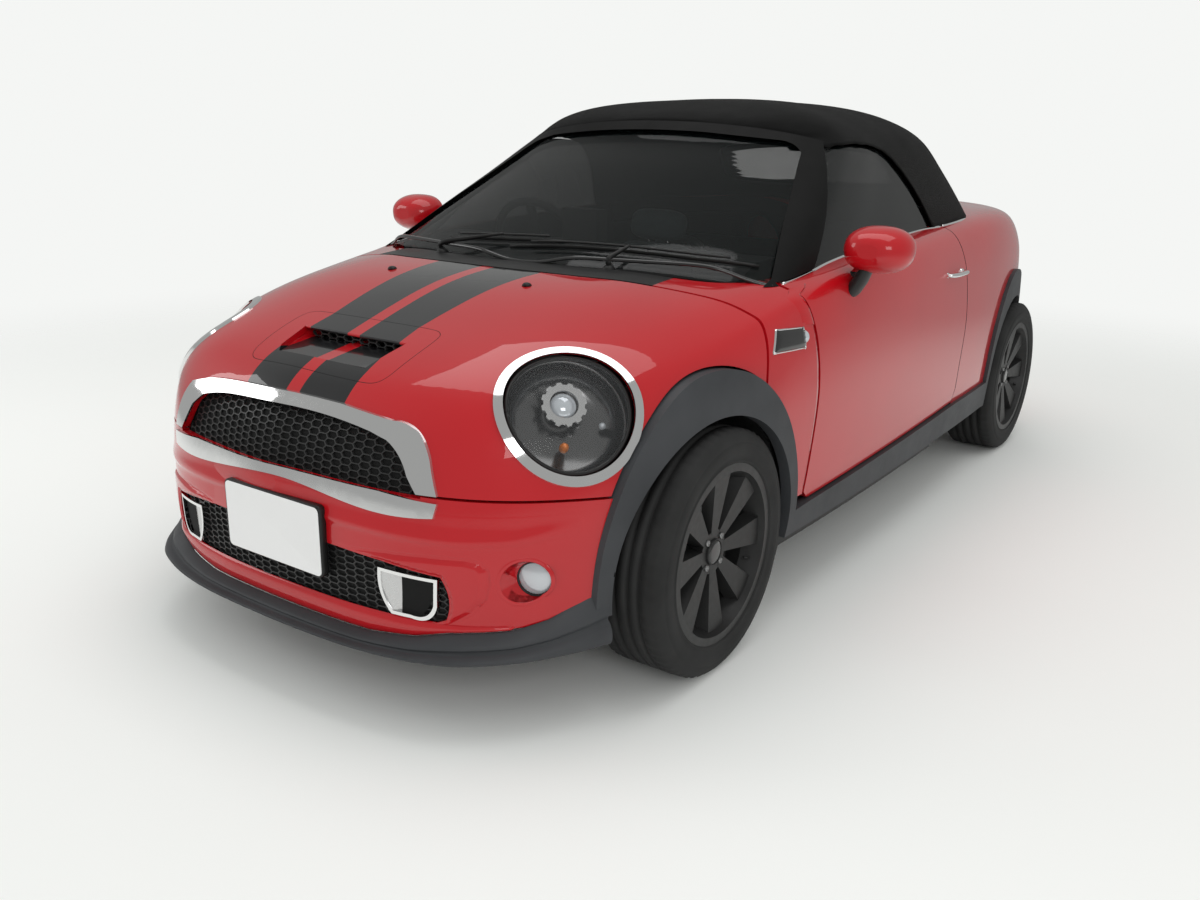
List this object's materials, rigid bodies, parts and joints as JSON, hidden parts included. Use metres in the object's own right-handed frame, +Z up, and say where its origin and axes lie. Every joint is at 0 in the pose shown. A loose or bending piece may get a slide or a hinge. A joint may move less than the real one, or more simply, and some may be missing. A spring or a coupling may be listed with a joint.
{
  "type": "convertible car",
  "caption": "Small convertible car with its fabric roof raised, twin bonnet stripes, bonnet scoop, dark wheel flares and spoked wheels that roll and steer.",
  "frame": {"origin": "middle of the car's footprint, on the road surface under the tyres", "axes": "-Y points forward past the nose, +X to the car's left, +Z up"},
  "size_m": [1.9248, 3.7342, 1.39],
  "materials": {
    "paint": "gloss",
    "chrome": "polished",
    "dark_trim": "matte",
    "black_plastic": "gloss",
    "mesh_plastic": "matte",
    "lamp_clear": "clear",
    "lamp_red": "clear",
    "window_glass": "clear",
    "hood_fabric": "woven",
    "seat_fabric": "woven",
    "rubber": "matte",
    "wheel_paint": "satin",
    "steel": "satin",
    "cast": "rough",
    "plate": "satin",
    "dash_plastic": "matte",
    "under_paint": "matte"
  },
  "bodies": {
    "bonnet": {"bonnet": "paint", "bonnet_chrome": "chrome"},
    "door_left": {"door_left": "paint", "door_glass_left": "window_glass", "door_mirror_left": "paint"},
    "door_right": {"door_right": "paint", "door_glass_right": "window_glass", "door_mirror_right": "paint"},
    "boot_lid": {"boot_lid": "paint"},
    "steering_wheel": {"steering_wheel": "dash_plastic"},
    "knuckle_left": {"knuckle_front_left": "cast"},
    "knuckle_right": {"knuckle_front_right": "cast"},
    "wheel_front_left": {"wheel_front_left": "wheel_paint", "tyre_front_left": "rubber"},
    "wheel_front_right": {"wheel_front_right": "wheel_paint", "tyre_front_right": "rubber"},
    "wheel_rear_left": {"wheel_rear_left": "wheel_paint", "tyre_rear_left": "rubber"},
    "wheel_rear_right": {"wheel_rear_right": "wheel_paint", "tyre_rear_right": "rubber"},
    "car_body": {"headlamps": "lamp_clear", "front_bumper": "paint", "front_lip": "dark_trim", "front_grilles": "mesh_plastic", "front_chrome": "chrome", "fog_lamps": "lamp_clear", "scuttle_panels": "paint", "rear_body": "paint", "tail_lamps": "lamp_red", "rear_bumper": "paint", "wheel_flares": "dark_trim", "sill_trims": "dark_trim", "windscreen_frame": "black_plastic", "windscreen": "window_glass", "cowl": "black_plastic", "soft_top": "hood_fabric", "rear_window": "window_glass", "number_plate": "plate", "floorpan": "under_paint", "front_suspension": "steel", "rear_axle": "steel", "engine_block": "cast", "exhaust": "steel", "dashboard": "dash_plastic", "centre_console": "dash_plastic", "seat_left": "seat_fabric", "seat_right": "seat_fabric", "rear_bench": "seat_fabric"}
  },
  "joints": [
    {"name": "steering_wheel_turn", "type": "hinge", "parent": "car_body", "child": "steering_wheel", "pos_m": [-0.36, -0.36593, 0.87848], "axis": [0, 0.9135, 0.4067], "range_deg": [-480, 480]},
    {"name": "bonnet_hinge", "type": "hinge", "parent": "car_body", "child": "bonnet", "pos_m": [0, -0.8, 0.86], "axis": [-1, 0, 0], "range_deg": [0, 55]},
    {"name": "boot_lid_hinge", "type": "hinge", "parent": "car_body", "child": "boot_lid", "pos_m": [0, 1.864, 0.57685], "axis": [-1, 0, 0], "range_deg": [0, 90]},
    {"name": "door_left_hinge", "type": "hinge", "parent": "car_body", "child": "door_left", "pos_m": [0.78501, -0.72253, 0.6], "axis": [0, 0, -1], "range_deg": [0, 65]},
    {"name": "door_right_hinge", "type": "hinge", "parent": "car_body", "child": "door_right", "pos_m": [-0.78501, -0.72253, 0.6], "axis": [0, 0, 1], "range_deg": [0, 65]},
    {"name": "steer_left", "type": "hinge", "parent": "car_body", "child": "knuckle_left", "pos_m": [0.6815, -1.147, 0.308], "axis": [0, 0, 1], "range_deg": [-36, 36]},
    {"name": "steer_right", "type": "hinge", "parent": "car_body", "child": "knuckle_right", "pos_m": [-0.6815, -1.147, 0.308], "axis": [0, 0, 1], "range_deg": [-36, 36]},
    {"name": "wheel_front_left_spin", "type": "hinge", "parent": "knuckle_left", "child": "wheel_front_left", "pos_m": [0.7265, -1.147, 0.308], "axis": [1, 0, 0], "continuous": true},
    {"name": "wheel_front_right_spin", "type": "hinge", "parent": "knuckle_right", "child": "wheel_front_right", "pos_m": [-0.7265, -1.147, 0.308], "axis": [1, 0, 0], "continuous": true},
    {"name": "wheel_rear_left_spin", "type": "hinge", "parent": "car_body", "child": "wheel_rear_left", "pos_m": [0.7305, 1.32, 0.308], "axis": [1, 0, 0], "continuous": true},
    {"name": "wheel_rear_right_spin", "type": "hinge", "parent": "car_body", "child": "wheel_rear_right", "pos_m": [-0.7305, 1.32, 0.308], "axis": [1, 0, 0], "continuous": true}
  ],
  "couplings": [
    {"joint": "steer_left", "follows": "steering_wheel_turn", "ratio": 0.075},
    {"joint": "steer_right", "follows": "steering_wheel_turn", "ratio": 0.075}
  ]
}
